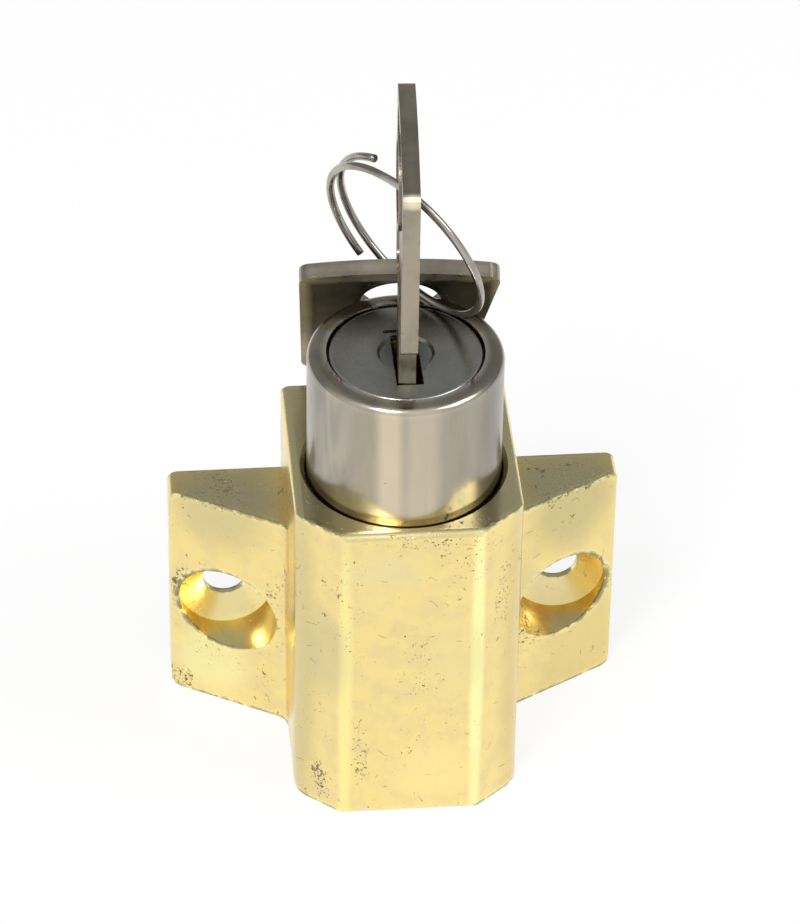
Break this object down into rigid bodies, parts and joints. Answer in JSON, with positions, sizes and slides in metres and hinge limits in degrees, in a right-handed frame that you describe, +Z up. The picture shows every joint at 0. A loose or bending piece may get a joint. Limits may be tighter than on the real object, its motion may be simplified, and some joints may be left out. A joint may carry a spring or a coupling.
{
  "type": "keyed sliding-panel bolt",
  "caption": "Keyed plunger bolt for a sliding panel: cast brass-finish housing with two countersunk screw ears, a round nickel lock plunger, a key in the lock and a spare key on a wire ring.",
  "frame": {"origin": "midpoint between the two screw holes, on the flat back face that rests on the panel", "axes": "+X to the right seen from the front, +Y from the front face to the back face, +Z up along the plunger, from the bolt's tip to the key"},
  "size_m": [0.0522, 0.0445, 0.0861],
  "materials": {
    "brass_plate": "worn bright brass plating",
    "nickel_plate": "polished nickel plating",
    "plug_brass": "machined brass",
    "satin_steel": "satin",
    "key_nickel": "dull nickel",
    "ring_steel": "drawn wire",
    "steel": "machined"
  },
  "bodies": {
    "housing": {"housing": "brass_plate", "guide_pin": "steel", "return_spring": "steel"},
    "plunger": {"plunger": "nickel_plate", "bolt_carrier": "steel", "bolt": "steel", "cross_pin": "steel"},
    "plug": {"lock_plug": "plug_brass", "plug_face_cap": "satin_steel", "retaining_clip": "steel", "drive_pin": "steel", "wafer_spring_1": "steel", "wafer_spring_2": "steel", "wafer_spring_3": "steel", "wafer_spring_4": "steel", "wafer_spring_5": "steel"},
    "latch": {"latch_slider": "steel"},
    "inserted_key": {"inserted_key": "key_nickel"},
    "ring": {"key_ring": "ring_steel"},
    "spare_key": {"spare_key": "key_nickel"},
    "wafer_1": {"wafer_1": "plug_brass"},
    "wafer_2": {"wafer_2": "plug_brass"},
    "wafer_3": {"wafer_3": "plug_brass"},
    "wafer_4": {"wafer_4": "plug_brass"},
    "wafer_5": {"wafer_5": "plug_brass"}
  },
  "joints": [
    {"name": "plunger_slide", "type": "slide", "parent": "housing", "child": "plunger", "axis": [0, 0, -1], "range_m": [0, 0.01], "stiffness_N_per_m": 300, "springref_m": -0.01, "deforming": ["return_spring"]},
    {"name": "plug_turn", "type": "hinge", "parent": "plunger", "child": "plug", "pos_m": [0, -0.0149, 0], "axis": [0, 0, -1], "range_deg": [0, 75]},
    {"name": "latch_slide", "type": "slide", "parent": "plunger", "child": "latch", "axis": [0, 1, 0], "range_m": [0, 0.00158]},
    {"name": "key_withdraw", "type": "slide", "parent": "plug", "child": "inserted_key", "axis": [0, 0, 1], "range_m": [0, 0.028]},
    {"name": "wafer_1_slide", "type": "slide", "parent": "plug", "child": "wafer_1", "axis": [0, 1, 0], "range_m": [0, 0.0007]},
    {"name": "wafer_2_slide", "type": "slide", "parent": "plug", "child": "wafer_2", "axis": [0, 1, 0], "range_m": [0, 0.0007]},
    {"name": "wafer_3_slide", "type": "slide", "parent": "plug", "child": "wafer_3", "axis": [0, 1, 0], "range_m": [0, 0.0007]},
    {"name": "wafer_4_slide", "type": "slide", "parent": "plug", "child": "wafer_4", "axis": [0, 1, 0], "range_m": [0, 0.0007]},
    {"name": "wafer_5_slide", "type": "slide", "parent": "plug", "child": "wafer_5", "axis": [0, 1, 0], "range_m": [0, 0.0007]},
    {"name": "ring_spin", "type": "hinge", "parent": "inserted_key", "child": "ring", "pos_m": [0, -0.0149, 0], "axis": [0, 0, -1], "range_deg": [-75, 0]},
    {"name": "spare_key_swing", "type": "hinge", "parent": "ring", "child": "spare_key", "pos_m": [0.00121, -0.00709, 0.04416], "axis": [1, 0, 0], "range_deg": [0, 21]}
  ],
  "couplings": [
    {"joint": "latch_slide", "follows": "plug_turn", "m_per_rad": 0.001209},
    {"joint": "wafer_1_slide", "follows": "key_withdraw", "ratio": 0.025},
    {"joint": "wafer_2_slide", "follows": "key_withdraw", "ratio": 0.025},
    {"joint": "wafer_3_slide", "follows": "key_withdraw", "ratio": 0.025},
    {"joint": "wafer_4_slide", "follows": "key_withdraw", "ratio": 0.025},
    {"joint": "wafer_5_slide", "follows": "key_withdraw", "ratio": 0.025},
    {"joint": "ring_spin", "follows": "plug_turn", "ratio": -1},
    {"joint": "spare_key_swing", "follows": "plunger_slide", "rad_per_m": 36.65}
  ]
}
